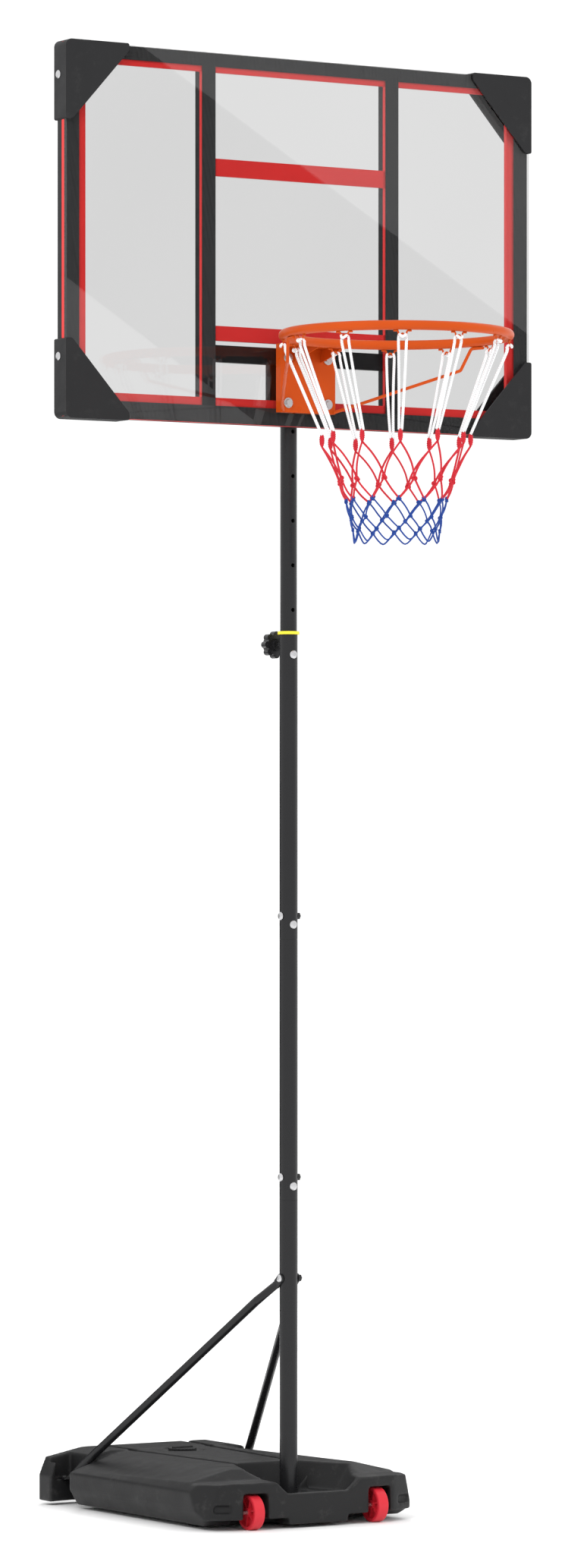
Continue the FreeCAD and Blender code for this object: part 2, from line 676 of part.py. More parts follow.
def pole_bolt_holes():
    return [cylinder(BOLT_HOLE_R, V(0, -48, z), Y_AXIS, 100) for z in POLE_BOLT_Z]


def frame_crossbar():
    reach = UPRIGHT_X - TUBE_WIDE / 2
    bar = tube_box((-reach, TUBE_Y, CROSSBAR[0]), (reach, FRAME_BACK_Y, CROSSBAR[1]), 0)
    for hole in rim_bolt_holes() + pole_bolt_holes():
        bar = bar.cut(hole)
    return bar


def mount_plate():
    """Flanged steel plate closing the gap between the crossbar and the bottom rail."""
    low = BOARD_LOW_Z + TUBE_WIDE
    plate = box((-MOUNT_HALF, FRAME_BACK_Y - PLATE, low), (MOUNT_HALF, FRAME_BACK_Y, CROSSBAR[0]))
    cheeks = [box((x, TUBE_Y, low), (x + PLATE, FRAME_BACK_Y, CROSSBAR[0]))
              for x in (-MOUNT_HALF, MOUNT_HALF - PLATE)]
    shape = fused([plate] + cheeks)
    for hole in rim_bolt_holes() + pole_bolt_holes():
        shape = shape.cut(hole)
    return shape


def pole_saddles():
    """Two blocks hollowed to the pole, between the flat frame and the round tube."""
    saddles = []
    for z in POLE_BOLT_Z:
        block = box((-16, FRAME_BACK_Y, z - 13), (16, -9, z + 13))
        block = block.cut(cylinder(INNER_OD / 2, V(0, 0, z - 20), Z_AXIS, 40))
        saddles.append(block.cut(cylinder(BOLT_HOLE_R, V(0, -40, z), Y_AXIS, 80)))
    return group(saddles)


def pole_bolts():
    """Hexagon-head bolts from the frame through the pole."""
    bolts = []
    for z, seat in zip(POLE_BOLT_Z, (FRAME_BACK_Y - PLATE, TUBE_Y)):
        head = hexagon(13, V(0, seat, z), Y_AXIS * -1, 5.3)
        shank = cylinder(BOLT_R, V(0, seat, z), Y_AXIS, INNER_OD / 2 + 10 - seat)
        bolts.append(head.fuse(shank).removeSplitter())
    return group(bolts)


def pole_nuts():
    """Domed nuts on the back of the pole, each on a curved washer."""
    nuts = []
    for z in POLE_BOLT_Z:
        washer = cylinder(10, V(0, 10, z), Y_AXIS, INNER_OD / 2 - 8)
        washer = washer.cut(cylinder(INNER_OD / 2, V(0, 0, z - 20), Z_AXIS, 40))
        washer = washer.cut(cylinder(BOLT_R + 0.05, V(0, 0, z), Y_AXIS, 40))
        nuts.append(fused([washer, nut(V(0, INNER_OD / 2 + 2, z), Y_AXIS)]))
    return group(nuts)


# ---------------------------------------------------------------- backboard layers
def window_frame(low_y, thick, side, top, bottom):
    outer = box((-BOARD_HALF, low_y, BOARD_LOW_Z), (BOARD_HALF, low_y + thick, BOARD_HIGH_Z))
    return outer.cut(box((-BOARD_HALF + side, low_y - 1, BOARD_LOW_Z + bottom),
                         (BOARD_HALF - side, low_y + thick + 1, BOARD_HIGH_Z - top)))


def acrylic_sheet():
    sheet = box((-BOARD_HALF, BOARD_FRONT_Y, BOARD_LOW_Z), (BOARD_HALF, FILM_Y, BOARD_HIGH_Z))
    for hole in rim_bolt_holes():
        sheet = sheet.cut(hole)
    return sheet


def border_film():
    """Black border and two black uprights on the back of the clear sheet."""
    film = window_frame(FILM_Y, FILM_THICK, FILM_SIDE, FILM_TOP, FILM_BOTTOM)
    strips = [box((side * UPRIGHT_X - 16, FILM_Y, BOARD_LOW_Z + 5),
                  (side * UPRIGHT_X + 16, TAPE_Y, BOARD_HIGH_Z - 5)) for side in (-1, 1)]
    return fused([film] + strips)


def foam_tape():
    """Black foam tape that bonds the sheet to the trim, along the border and the uprights."""
    tape = window_frame(TAPE_Y, TAPE_THICK, 20, 20, 20)
    strips = [box((side * UPRIGHT_X - 10, TAPE_Y, BOARD_LOW_Z + 5),
                  (side * UPRIGHT_X + 10, TRIM_Y, BOARD_HIGH_Z - 5)) for side in (-1, 1)]
    return fused([tape] + strips)


def red_trim():
    """Red frame between the sheet and the steel: border, two uprights and two bands."""
    trim = window_frame(TRIM_Y, TRIM_THICK, TRIM_SIDE, TRIM_TOP, TRIM_BOTTOM)
    strips = [box((side * UPRIGHT_X - TUBE_WIDE / 2, TRIM_Y, BOARD_LOW_Z + 5),
                  (side * UPRIGHT_X + TUBE_WIDE / 2, TUBE_Y, BOARD_HIGH_Z - 5)) for side in (-1, 1)]
    bands = [box((-UPRIGHT_X, TRIM_Y, low), (UPRIGHT_X, TUBE_Y, high)) for low, high in (BAND_LOW, BAND_HIGH)]
    shape = fused([trim] + strips + bands)
    for hole in rim_bolt_holes():
        shape = shape.cut(hole)
    return shape


def corner_pad(side, high):
    """Moulded guard that wraps one corner of the board on the front, the back and both edges."""
    edge_x = BOARD_HALF + PAD_PROUD
    edge_z = BOARD_HIGH_Z + PAD_PROUD if high else BOARD_LOW_Z - PAD_PROUD
    down = -1 if high else 1
    corners = [(0, 0), (PAD_LEG_X, 0), (PAD_LEG_X, PAD_END), (PAD_END, PAD_LEG_Z), (0, PAD_LEG_Z)]
    radii = (14, 4, 8, 8, 4)
    outline = [(side * (edge_x - a), edge_z + down * b, r) for (a, b), r in zip(corners, radii)]
    wire = rounded_outline(outline)
    wire.rotate(V(0, 0, 0), X_AXIS, 90)
    face = Part.Face(wire)
    front = BOARD_FRONT_Y - PAD_PROUD
    depth = FRAME_BACK_Y + PAD_BACK - front
    face.translate(V(0, front, 0))
    pad = face.extrude(V(0, depth, 0))
    pad = pad.cut(box((-BOARD_HALF, BOARD_FRONT_Y, BOARD_LOW_Z), (BOARD_HALF, FRAME_BACK_Y, BOARD_HIGH_Z)))
    for hole in pad_bolt_holes():
        pad = pad.cut(hole)
    return pad.Solids[0]


def pad_bolts():
    bolts = []
    for side in (-1, 1):
        for z in PAD_BOLT_Z:
            start = V(side * (BOARD_HALF + PAD_PROUD), PAD_BOLT_Y, z)
            bolts.append(carriage_bolt(start, X_AXIS * -side, 24, 8.5, 3.5))
    return group(bolts)


# ---------------------------------------------------------------- rim
def rim_bracket():
    """Pressed steel pan with four bolt holes; its flanges stand on the clear sheet."""
    low, high = BRACKET_Z
    pan = box((-BRACKET_HALF, BRACKET_FRONT_Y, low), (BRACKET_HALF, BOARD_FRONT_Y, high))
    pan = pan.cut(box((-BRACKET_HALF + PLATE, BRACKET_FRONT_Y + PLATE, low + PLATE),
                      (BRACKET_HALF - PLATE, BOARD_FRONT_Y + 1, high - PLATE)))
    for hole in rim_bolt_holes():
        pan = pan.cut(hole)
    return pan


def rim_torus(radius=RIM_BAR):
    return Part.makeTorus(RIM_RADIUS, radius, V(0, RIM_Y, RIM_Z), Z_AXIS)


def rim_shelf():
    """Flat plate that carries the ring, with a welded gusset at each side."""
    front = RIM_Y + RIM_RADIUS
    plate = prism_z([(-60, BRACKET_FRONT_Y, 1), (-52, front - 14, 1), (52, front - 14, 1),
                     (60, BRACKET_FRONT_Y, 1)], RIM_Z - 2, RIM_Z + 2)
    gusset = [(BRACKET_FRONT_Y, RIM_Z - 1), (BRACKET_FRONT_Y, RIM_Z - 30), (front + 6, RIM_Z - 6),
              (front + 6, RIM_Z - 1)]
    gussets = [prism_x(gusset, x - 1.5, x + 1.5) for x in (-32, 32)]
    return fused([plate] + gussets).cut(rim_torus()).Solids[0]


def rim_brace(side):
    """Bent rod from the foot of the bracket out to the ring, with its end laid along the ring."""
    under = RIM_Z - RIM_BAR - BRACE_R
    points = [V(61, BRACKET_FRONT_Y - BRACE_R, 2273.5), V(80, BRACKET_FRONT_Y - 27, 2282), V(207, -326, 2348),
              V(219, -347, under), V(226, -380, under)]
    rod = bent_rod(points, BRACE_R, 7)
    return mirrored(rod) if side < 0 else rod


def net_hooks():
    """Twelve wire hooks, each bent to a W and welded under the ring."""
    top = -RIM_BAR - HOOK_R
    shape = [(-18, top), (-9, top), (-6.5, top - 12), (0, top - 4), (6.5, top - 12), (9, top), (18, top)]
    hooks = []
    for i in range(HOOK_COUNT):
        points = [V(along, -RIM_RADIUS + along * along / (2 * RIM_RADIUS), z) for along, z in shape]
        wire = bent_rod(points, HOOK_R, 2.2)
        wire.rotate(V(0, 0, 0), Z_AXIS, 360 / HOOK_COUNT * i)
        wire.translate(V(0, RIM_Y, RIM_Z))
        hooks.append(wire)
    return group(hooks)


def rim_bolts():
    """Flanged hexagon bolts through the bracket, the sheet and the frame."""
    bolts = []
    for side in (-1, 1):
        for z in RIM_BOLT_Z:
            start = V(side * RIM_BOLT_X, BRACKET_FRONT_Y, z)
            flange = cylinder(10.5, start, Y_AXIS * -1, 1.8)
            head = hexagon(13, start - Y_AXIS * 1.8, Y_AXIS * -1, 5)
            shank = cylinder(BOLT_R, start, Y_AXIS, FRAME_BACK_Y - BRACKET_FRONT_Y + 9)
            bolts.append(fused([flange, head, shank]))
    return group(bolts)


def rim_nuts():
    return group([nut(V(side * RIM_BOLT_X, FRAME_BACK_Y, z), Y_AXIS) for side in (-1, 1) for z in RIM_BOLT_Z])


def net():
    """Soft net as a thin open sleeve that narrows to its lower edge."""
    profile = [(216, 2359), (155, 2196), (121, 2113), (107, 2074), (97, 2039), (91, 2014), (89, 1988)]
    inside = [(r - 3, z) for r, z in reversed(profile)]
    wire = Part.makePolygon([V(r, 0, z) for r, z in profile + inside + profile[:1]])
    sleeve = Part.Face(wire).revolve(V(0, 0, 0), Z_AXIS, 360)
    sleeve.translate(V(0, RIM_Y, 0))
    return sleeve


# ---------------------------------------------------------------- nodes
def nodes():
    made = {
        "base_tank": base_tank(),
        "ballast_water": ballast_water(),
        "filler_cap": filler_cap(),
        "filler_gasket": filler_gasket(),
        "pole_foot_cap": pole_foot_cap(),
        "pole_bottom": pole_bottom(),
        "pole_middle": pole_middle(),
        "pole_top_outer": pole_top_outer(),
        "joint_bolts": joint_bolts(),
        "joint_nuts": joint_nuts(),
        "limit_ring": limit_ring(),
        "lock_bolt": lock_bolt(),
        "clamp_boss": clamp_boss(),
        "clamp_pad": clamp_pad(),
        "clamp_stud": clamp_stud(),
        "clamp_knob": clamp_knob(),
        "knob_insert": knob_insert(),
        "strut_right": strut(),
        "strut_left": mirrored(strut()),
        "strut_bolt": strut_bolt(),
        "strut_nut": strut_nut(),
        "strut_foot_bolts": strut_foot_bolts(),
        "wheel_left": placed_wheel(-1),
        "wheel_right": placed_wheel(1),
        "wheel_axles": wheel_axles(),
        "pole_inner": pole_inner(),
        "pole_inner_cap": pole_inner_cap(),
        "pole_saddles": pole_saddles(),
        "pole_bolts": pole_bolts(),
        "pole_nuts": pole_nuts(),
        "frame_rail_top": frame_rail(BOARD_HIGH_Z - TUBE_WIDE),
        "frame_rail_bottom": frame_rail(BOARD_LOW_Z),
        "frame_stile_left": frame_stile(-1),
        "frame_stile_right": frame_stile(1),
        "frame_upright_left": frame_post(-UPRIGHT_X),
        "frame_upright_right": frame_post(UPRIGHT_X),
        "frame_crossbar": frame_crossbar(),
        "mount_plate": mount_plate(),
        "acrylic_sheet": acrylic_sheet(),
        "border_film": border_film(),
        "foam_tape": foam_tape(),
        "red_trim": red_trim(),
        "pad_top_left": corner_pad(-1, True),
        "pad_top_right": corner_pad(1, True),
        "pad_bottom_left": corner_pad(-1, False),
        "pad_bottom_right": corner_pad(1, False),
        "pad_bolts": pad_bolts(),
        "rim_bracket": rim_bracket(),
        "rim_shelf": rim_shelf(),
        "rim_ring": rim_torus(),
        "rim_brace_left": rim_brace(-1),
        "rim_brace_right": rim_brace(1),
        "net_hooks": net_hooks(),
        "rim_bolts": rim_bolts(),
        "rim_nuts": rim_nuts(),
        "net": net(),
    }
    return made


def main():
    os.makedirs("parts", exist_ok=True)
    for name, shape in nodes().items():
        shape.exportStep("parts/" + name + ".step")
        print(name, len(shape.Solids), shape.isValid(), round(shape.Volume / 1000, 1))


main()
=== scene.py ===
"""Looks of the portable basketball hoop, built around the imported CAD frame: metres, +Z up, rim towards -Y."""
import math
import random

import bmesh
import bpy
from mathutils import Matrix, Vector


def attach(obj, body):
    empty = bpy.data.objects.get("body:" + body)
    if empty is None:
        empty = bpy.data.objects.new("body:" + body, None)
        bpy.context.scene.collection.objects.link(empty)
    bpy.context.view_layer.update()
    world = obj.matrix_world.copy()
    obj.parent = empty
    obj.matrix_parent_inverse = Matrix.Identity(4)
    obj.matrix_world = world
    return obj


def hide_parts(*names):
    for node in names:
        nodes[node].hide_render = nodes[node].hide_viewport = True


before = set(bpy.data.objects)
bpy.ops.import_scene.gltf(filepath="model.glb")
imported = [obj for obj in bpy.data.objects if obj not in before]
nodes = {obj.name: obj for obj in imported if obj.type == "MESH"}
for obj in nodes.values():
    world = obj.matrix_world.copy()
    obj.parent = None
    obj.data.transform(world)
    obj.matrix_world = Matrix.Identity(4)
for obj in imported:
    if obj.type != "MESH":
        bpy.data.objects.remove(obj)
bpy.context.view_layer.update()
scene = bpy.context.scene
rng = random.Random(11)


def middle_of(name):
    """Centre of the box round a CAD node."""
    return sum((Vector(corner) for corner in nodes[name].bound_box), Vector()) / 8


def level_place(point):
    """The same place at height zero."""
    return Vector((point.x, point.y, 0))


RIM_AXIS = level_place(middle_of("net_hooks"))
RIM_RADIUS = 0.226                  # to the middle of the ring's bar
FILLER_AXIS = level_place(middle_of("filler_cap"))
FOOT_BOLT_X = 0.216
FOOT_BOLT_Y = 0.546


# ---------------------------------------------------------------- camera, light, floor
CAMERA_PLACE = (-6.620, -10.556, 1.316)
CAMERA_TURN = -32.05                # degrees about the vertical; the camera looks level
CAMERA_LENS = 139.4                 # millimetres, on a film 36 mm high
CAMERA_RISE = 0.0615                # upward shift of the lens, as a share of the film

FLOOR_HALF = 60

# a dark cloth far in front of the board, which shows only as the slanted band mirrored in the clear sheet
BOARD_CLOTH = [(5.5, -12, 4.399), (6.436, -12, 3.828), (9.5, -12, 1.96),
               (9.5, -12, 3.313), (8.503, -12, 3.881), (7.10, -12, 4.679), (5.5, -12, 5.589)]
# and one behind the hoop, which keeps the glare of the far white off the flat top of the tank
TANK_CLOTH = [(-3, 4.5, 0.01), (7, 4.5, 0.01), (7, 4.5, 2.05), (-3, 4.5, 2.05)]


def flat_piece(name, corners, material):
    mesh = bpy.data.meshes.new(name)
    mesh.from_pydata(corners, [], [tuple(range(len(corners)))])
    mesh.materials.append(material)
    obj = bpy.data.objects.new(name, mesh)
    scene.collection.objects.link(obj)
    return obj


def add_camera():
    data = bpy.data.cameras.new("camera")
    data.sensor_fit = "VERTICAL"
    data.sensor_height = 36
    data.lens = CAMERA_LENS
    data.shift_y = CAMERA_RISE
    data.clip_end = 100
    camera = bpy.data.objects.new("camera", data)
    camera.location = CAMERA_PLACE
    camera.rotation_euler = (math.radians(90), 0, math.radians(CAMERA_TURN))
    scene.collection.objects.link(camera)
    scene.camera = camera


def area_light(name, place, target, size, power):
    """Soft square light, which lights the hoop without showing in its glossy surfaces."""
    data = bpy.data.lights.new(name, "AREA")
    data.energy = power
    data.size = size
    light = bpy.data.objects.new(name, data)
    light.location = place
    light.rotation_euler = (Vector(target) - Vector(place)).to_track_quat("-Z", "Y").to_euler()
    light.visible_glossy = False
    scene.collection.objects.link(light)


def add_sky():
    world = bpy.data.worlds.new("studio")
    world.use_nodes = True
    background = world.node_tree.nodes["Background"]
    background.inputs["Color"].default_value = (1, 1, 1, 1)
    background.inputs["Strength"].default_value = 1.12
    scene.world = world
    scene.view_settings.view_transform = "Standard"


def add_floor():
    half = FLOOR_HALF
    corners = [(-half, -half, 0), (half, -half, 0), (half, half, 0), (-half, half, 0)]
    flat_piece("floor", corners, floor_material())


def add_cloths():
    """Dark cloths that only mirrors see."""
    cloth = plain_surface("flag_cloth", (0.02, 0.02, 0.02), rough=0.9)
    for name, corners in (("board_flag", BOARD_CLOTH), ("tank_flag", TANK_CLOTH)):
        flag = flat_piece(name, corners, cloth)
        for kind in ("camera", "diffuse", "shadow", "transmission", "volume_scatter"):
            setattr(flag, "visible_" + kind, False)


def add_studio():
    add_sky()
    area_light("key", (-5.5, -4.0, 6.5), (0, 0, 1.6), size=2.4, power=220)
    area_light("fill", (5.0, -4.5, 3.5), (0, 0, 1.6), size=2.0, power=90)
    area_light("back", (2.5, 5.5, 4.5), (0, 0, 2.0), size=2.4, power=150)
    add_floor()
    add_cloths()


# ---------------------------------------------------------------- materials
class Nodes:
    """Short way to build a material's node tree."""

    def __init__(self, name):
        self.material = bpy.data.materials.new(name)
        self.material.use_nodes = True
        self.tree = self.material.node_tree
        self.shader = self.tree.nodes["Principled BSDF"]
        self.output = self.tree.nodes["Material Output"]
        self.place = self.add("ShaderNodeTexCoord").outputs["Object"]

    def add(self, kind, **values):
        node = self.tree.nodes.new(kind)
        for key, value in values.items():
            setattr(node, key, value)
        return node

    def link(self, source, target):
        self.tree.links.new(source, target)

    def noise(self, scale, detail, rough=0.5):
        node = self.add("ShaderNodeTexNoise")
        node.inputs["Scale"].default_value = scale
        node.inputs["Detail"].default_value = detail
        node.inputs["Roughness"].default_value = rough
        self.link(self.place, node.inputs["Vector"])
        return node.outputs["Fac"]

    def ramp(self, source, low, high, low_value, high_value):
        node = self.add("ShaderNodeMapRange")
        self.link(source, node.inputs["Value"])
        node.inputs["From Min"].default_value = low
        node.inputs["From Max"].default_value = high
        node.inputs["To Min"].default_value = low_value
        node.inputs["To Max"].default_value = high_value
        return node.outputs["Result"]

    def mix(self, factor, first, second):
        """Mixes two colours, each a plain one or a node's output.  6, 7 and 2 are the colour sockets."""
        node = self.add("ShaderNodeMix", data_type="RGBA")
        for index, value in ((6, first), (7, second)):
            if isinstance(value, tuple):
                node.inputs[index].default_value = (*value, 1)
            else:
                self.link(value, node.inputs[index])
        self.link(factor, node.inputs[0])
        return node.outputs[2]

    def maths(self, operation, first, second):
        """Works on two values, of which the second may be a plain number."""
        node = self.add("ShaderNodeMath", operation=operation)
        self.link(first, node.inputs[0])
        if isinstance(second, (int, float)):
            node.inputs[1].default_value = second
        else:
            self.link(second, node.inputs[1])
        return node.outputs[0]

    def bump(self, source, depth, under=None):
        node = self.add("ShaderNodeBump")
        node.inputs["Distance"].default_value = depth
        self.link(source, node.inputs["Height"])
        if under:
            self.link(under, node.inputs["Normal"])
        return node.outputs["Normal"]


def plain_surface(name, colour, rough=0.45, vary=0.12, grain=600, depth=0.00006, specular=0.5, dust=0.0,
                  metallic=0.0):
    """Painted or moulded surface: broad colour drift, fine grain bump, uneven gloss, faint dust."""
    n = Nodes(name)
    dark = tuple(c * (1 - vary) for c in colour)
    light = tuple(min(1.0, c * (1 + vary)) for c in colour)
    tone = n.mix(n.ramp(n.noise(5, 4), 0.3, 0.7, 0, 1), dark, light)
    if dust > 0:
        specks = n.ramp(n.noise(38, 6, rough=0.7), 0.55, 0.8, 0, dust)
        tone = n.mix(specks, tone, (0.35, 0.34, 0.33))
    n.link(tone, n.shader.inputs["Base Color"])
    gloss = n.ramp(n.noise(24, 5), 0.3, 0.7, rough - 0.08, rough + 0.08)
    n.link(gloss, n.shader.inputs["Roughness"])
    n.shader.inputs["Specular IOR Level"].default_value = specular
    n.shader.inputs["Metallic"].default_value = metallic
    n.link(n.bump(n.noise(grain, 2), depth), n.shader.inputs["Normal"])
    return n.material


def floor_material():
    n = Nodes("floor")
    tone = n.mix(n.ramp(n.noise(0.8, 2), 0.3, 0.7, 0, 1), (0.94, 0.94, 0.94), (0.955, 0.955, 0.955))
    n.link(tone, n.shader.inputs["Base Color"])
    n.shader.inputs["Roughness"].default_value = 0.75
    return n.material


def acrylic_material():
    """Clear grey sheet: mostly see-through, with a mirror share that grows at grazing angles."""
    n = Nodes("acrylic")
    clear = n.add("ShaderNodeBsdfTransparent")
    tone = n.mix(n.ramp(n.noise(1.5, 2), 0.35, 0.65, 0, 1), (0.804, 0.804, 0.804), (0.812, 0.812, 0.812))
    n.link(tone, clear.inputs["Color"])
    n.shader.inputs["Base Color"].default_value = (0.9, 0.9, 0.9, 1)
    n.link(n.ramp(n.noise(9, 4), 0.3, 0.7, 0.001, 0.004), n.shader.inputs["Roughness"])
    n.shader.inputs["Metallic"].default_value = 1.0
    grazing = n.maths("POWER", n.add("ShaderNodeLayerWeight").outputs["Facing"], 5)
    blend = n.add("ShaderNodeMixShader")
    n.link(n.ramp(grazing, 0, 1, 0.04, 0.9), blend.inputs[0])
    n.link(clear.outputs[0], blend.inputs[1])
    n.link(n.shader.outputs[0], blend.inputs[2])
    n.link(blend.outputs[0], n.output.inputs["Surface"])
    return n.material


def cord_material(name, colour, pitch):
    """Braided polyester: two crossing families of strands, with painted shade in the grooves between them."""
    n = Nodes(name)
    strands = []
    for turn in (1, -1):
        mapping = n.add("ShaderNodeMapping")
        mapping.inputs["Scale"].default_value = (3 * turn, 1 / pitch, 1)
        n.link(n.add("ShaderNodeTexCoord").outputs["UV"], mapping.inputs["Vector"])
        wave = n.add("ShaderNodeTexWave", wave_type="BANDS", bands_direction="DIAGONAL")
        wave.inputs["Scale"].default_value = 0.5
        wave.inputs["Distortion"].default_value = 0.3
        n.link(mapping.outputs[0], wave.inputs["Vector"])
        strands.append(wave.outputs["Fac"])
    braid = n.maths("MAXIMUM", *strands)
    fuzz = n.noise(2600, 3)
    # painted shade: the colour is darkened in the grooves between the strands, where shade would fall
    groove_shade = tuple(c * 0.72 for c in colour)
    fibre = tuple(min(1, c * 1.25 + 0.02) for c in colour)
    shade = n.mix(n.ramp(braid, 0.2, 0.9, 0, 1), groove_shade, colour)
    tone = n.mix(n.ramp(fuzz, 0.35, 0.7, 0, 0.2), shade, fibre)
    n.link(tone, n.shader.inputs["Base Color"])
    n.link(n.ramp(fuzz, 0.3, 0.7, 0.6, 0.8), n.shader.inputs["Roughness"])
    n.shader.inputs["Specular IOR Level"].default_value = 0.25
    n.shader.inputs["Sheen Weight"].default_value = 0.06
    n.shader.inputs["Sheen Roughness"].default_value = 0.5
    n.link(n.bump(braid, 0.0004, under=n.bump(fuzz, 0.0001)), n.shader.inputs["Normal"])
    return n.material


def tank_material():
    """Blow-moulded polyethylene: soft uneven gloss, a fine orange-peel skin, pale scuffs on proud edges."""
    n = Nodes("tank_hdpe")
    tone = n.mix(n.ramp(n.noise(4, 4), 0.3, 0.7, 0, 1), (0.012, 0.012, 0.0125), (0.016, 0.016, 0.0165))
    edges = n.ramp(n.add("ShaderNodeNewGeometry").outputs["Pointiness"], 0.52, 0.6, 0, 0.5)
    patches = n.ramp(n.noise(70, 6, rough=0.7), 0.42, 0.62, 0, 1)
    tone = n.mix(n.maths("MULTIPLY", edges, patches), tone, (0.10, 0.10, 0.10))
    dust = n.ramp(n.noise(26, 8, rough=0.75), 0.56, 0.8, 0, 0.10)
    tone = n.mix(dust, tone, (0.30, 0.29, 0.28))
    n.link(tone, n.shader.inputs["Base Color"])
    n.link(n.ramp(n.noise(16, 5), 0.3, 0.7, 0.38, 0.52), n.shader.inputs["Roughness"])
    n.shader.inputs["Specular IOR Level"].default_value = 0.18
    peel = n.bump(n.noise(320, 3), 0.00025)
    n.link(n.bump(n.noise(1500, 2), 0.00005, under=peel), n.shader.inputs["Normal"])
    return n.material


def make_materials():
    return {
        "tank": tank_material(),
        "acrylic": acrylic_material(),
        "white_cord": cord_material("cord_white", (0.86, 0.87, 0.88), pitch=0.0042),
        "red_cord": cord_material("cord_red", (0.60, 0.018, 0.032), pitch=0.003),
        "blue_cord": cord_material("cord_blue", (0.010, 0.055, 0.30), pitch=0.003),
        "pole": plain_surface("pole_powder_coat", (0.011, 0.011, 0.012),
                              rough=0.28, vary=0.05, grain=1400, depth=0.00004, specular=0.3),
        "frame": plain_surface("frame_powder_coat", (0.013, 0.013, 0.014),
                               rough=0.45, vary=0.08, grain=1400, depth=0.00004, specular=0.2, dust=0.02),
        "pad": plain_surface("pad_moulded", (0.015, 0.015, 0.016),
                             rough=0.5, vary=0.08, grain=1100, depth=0.0001, specular=0.2, dust=0.03),
        "plastic": plain_surface("plastic_moulded", (0.012, 0.012, 0.013),
                                 rough=0.34, vary=0.08, grain=1200, specular=0.45),
        "film": plain_surface("film_print", (0.040, 0.040, 0.041),
                              rough=0.4, vary=0.05, grain=700, depth=0.00002, specular=0.2),
        "nut": plain_surface("nut_oxide", (0.02, 0.02, 0.02),
                             rough=0.4, vary=0.1, grain=900, depth=0.00005, metallic=0.4),
        "rubber": plain_surface("gasket_rubber", (0.012, 0.012, 0.012),
                                rough=0.7, vary=0.1, grain=900, depth=0.0001, specular=0.3),
        "steel": plain_surface("bolt_zinc", (0.55, 0.55, 0.56),
                               rough=0.28, vary=0.06, grain=1600, depth=0.00002, metallic=0.9),
        "yellow": plain_surface("ring_yellow", (0.9, 0.75, 0.03),
                                rough=0.35, vary=0.05, grain=900, depth=0.00003),
        "wheel": plain_surface("wheel_red", (0.58, 0.02, 0.034),
                               rough=0.38, vary=0.06, grain=700, depth=0.00008, specular=0.3, dust=0.02),
        "trim": plain_surface("trim_red", (0.93, 0.04, 0.038),
                              rough=0.4, vary=0.06, grain=900, depth=0.00005, specular=0.2),
        "orange": plain_surface("rim_powder_coat", (0.50, 0.066, 0.006),
                                rough=0.34, vary=0.06, grain=1200, depth=0.00005, specular=0.12),
    }


# ---------------------------------------------------------------- CAD nodes: paint and rounded edges
PADS = ["pad_top_left", "pad_top_right", "pad_bottom_left", "pad_bottom_right"]
BOARD_TUBES = ["frame_rail_top", "frame_rail_bottom", "frame_stile_left", "frame_stile_right",
               "frame_upright_left", "frame_upright_right", "frame_crossbar"]
TUBES = ["pole_bottom", "pole_middle", "pole_top_outer", "pole_inner", "strut_right", "strut_left"]
WHEELS = ["wheel_left", "wheel_right"]
BRACES = ["rim_brace_left", "rim_brace_right"]

NODE_MATERIALS = {
    "tank": ["base_tank", "ballast_water"],
    "plastic": ["filler_cap", "pole_foot_cap", "clamp_knob", "pole_inner_cap"],
    "rubber": ["filler_gasket"],
    "pole": TUBES + ["clamp_boss", "pole_saddles"],
    "steel": ["joint_bolts", "lock_bolt", "clamp_pad", "clamp_stud", "knob_insert", "strut_bolt",
              "wheel_axles", "pole_bolts", "pole_nuts", "pad_bolts", "rim_bolts", "rim_nuts"],
    "nut": ["joint_nuts", "strut_nut", "strut_foot_bolts"],
    "yellow": ["limit_ring"],
    "wheel": WHEELS,
    "frame": BOARD_TUBES + ["mount_plate"],
    "film": ["border_film", "foam_tape"],
    "trim": ["red_trim"],
    "pad": PADS,
    "orange": BRACES + ["rim_bracket", "rim_shelf", "rim_ring", "net_hooks"],
    "acrylic": ["acrylic_sheet"],
}

EDGE_RADII = {
    0.003: PADS,
    0.0015: BOARD_TUBES + ["clamp_boss", "rim_shelf", "rim_bracket"],
    0.0008: WHEELS + ["mount_plate", "pole_saddles", "pole_foot_cap", "pole_inner_cap", "filler_cap",
                      "knob_insert"],
    0.0005: TUBES + BRACES + ["pole_nuts", "joint_nuts", "joint_bolts", "strut_nut", "rim_bolts",
                              "rim_nuts", "pad_bolts", "strut_foot_bolts", "pole_bolts", "limit_ring",
                              "rim_ring", "net_hooks", "lock_bolt", "strut_bolt", "clamp_stud",
                              "wheel_axles"],
}
HARD_EDGE = 32                      # degrees, the smallest turn that counts as an edge


def paint(obj, material):
    obj.data.materials.clear()
    obj.data.materials.append(material)


def soften(obj, radius):
    """Rounds the hard edges of a CAD node for the light to catch, without touching its mesh."""
    weld = obj.modifiers.new("weld", "WELD")
    weld.merge_threshold = 0.00001
    flat = obj.modifiers.new("flat", "DECIMATE")
    flat.decimate_type = "DISSOLVE"
    flat.angle_limit = math.radians(0.5)
    bevel = obj.modifiers.new("bevel", "BEVEL")
    bevel.width = radius
    bevel.segments = 2
    bevel.limit_method = "ANGLE"
    bevel.angle_limit = math.radians(HARD_EDGE)
    for polygon in obj.data.polygons:
        polygon.use_smooth = True
    even = obj.modifiers.new("even", "WEIGHTED_NORMAL")
    even.weight = 100


def finish_cad_nodes():
    for kind, names in NODE_MATERIALS.items():
        for name in names:
            paint(nodes[name], materials[kind])
    for radius, names in EDGE_RADII.items():
        for name in names:
            soften(nodes[name], radius)
    nodes["acrylic_sheet"].visible_shadow = False


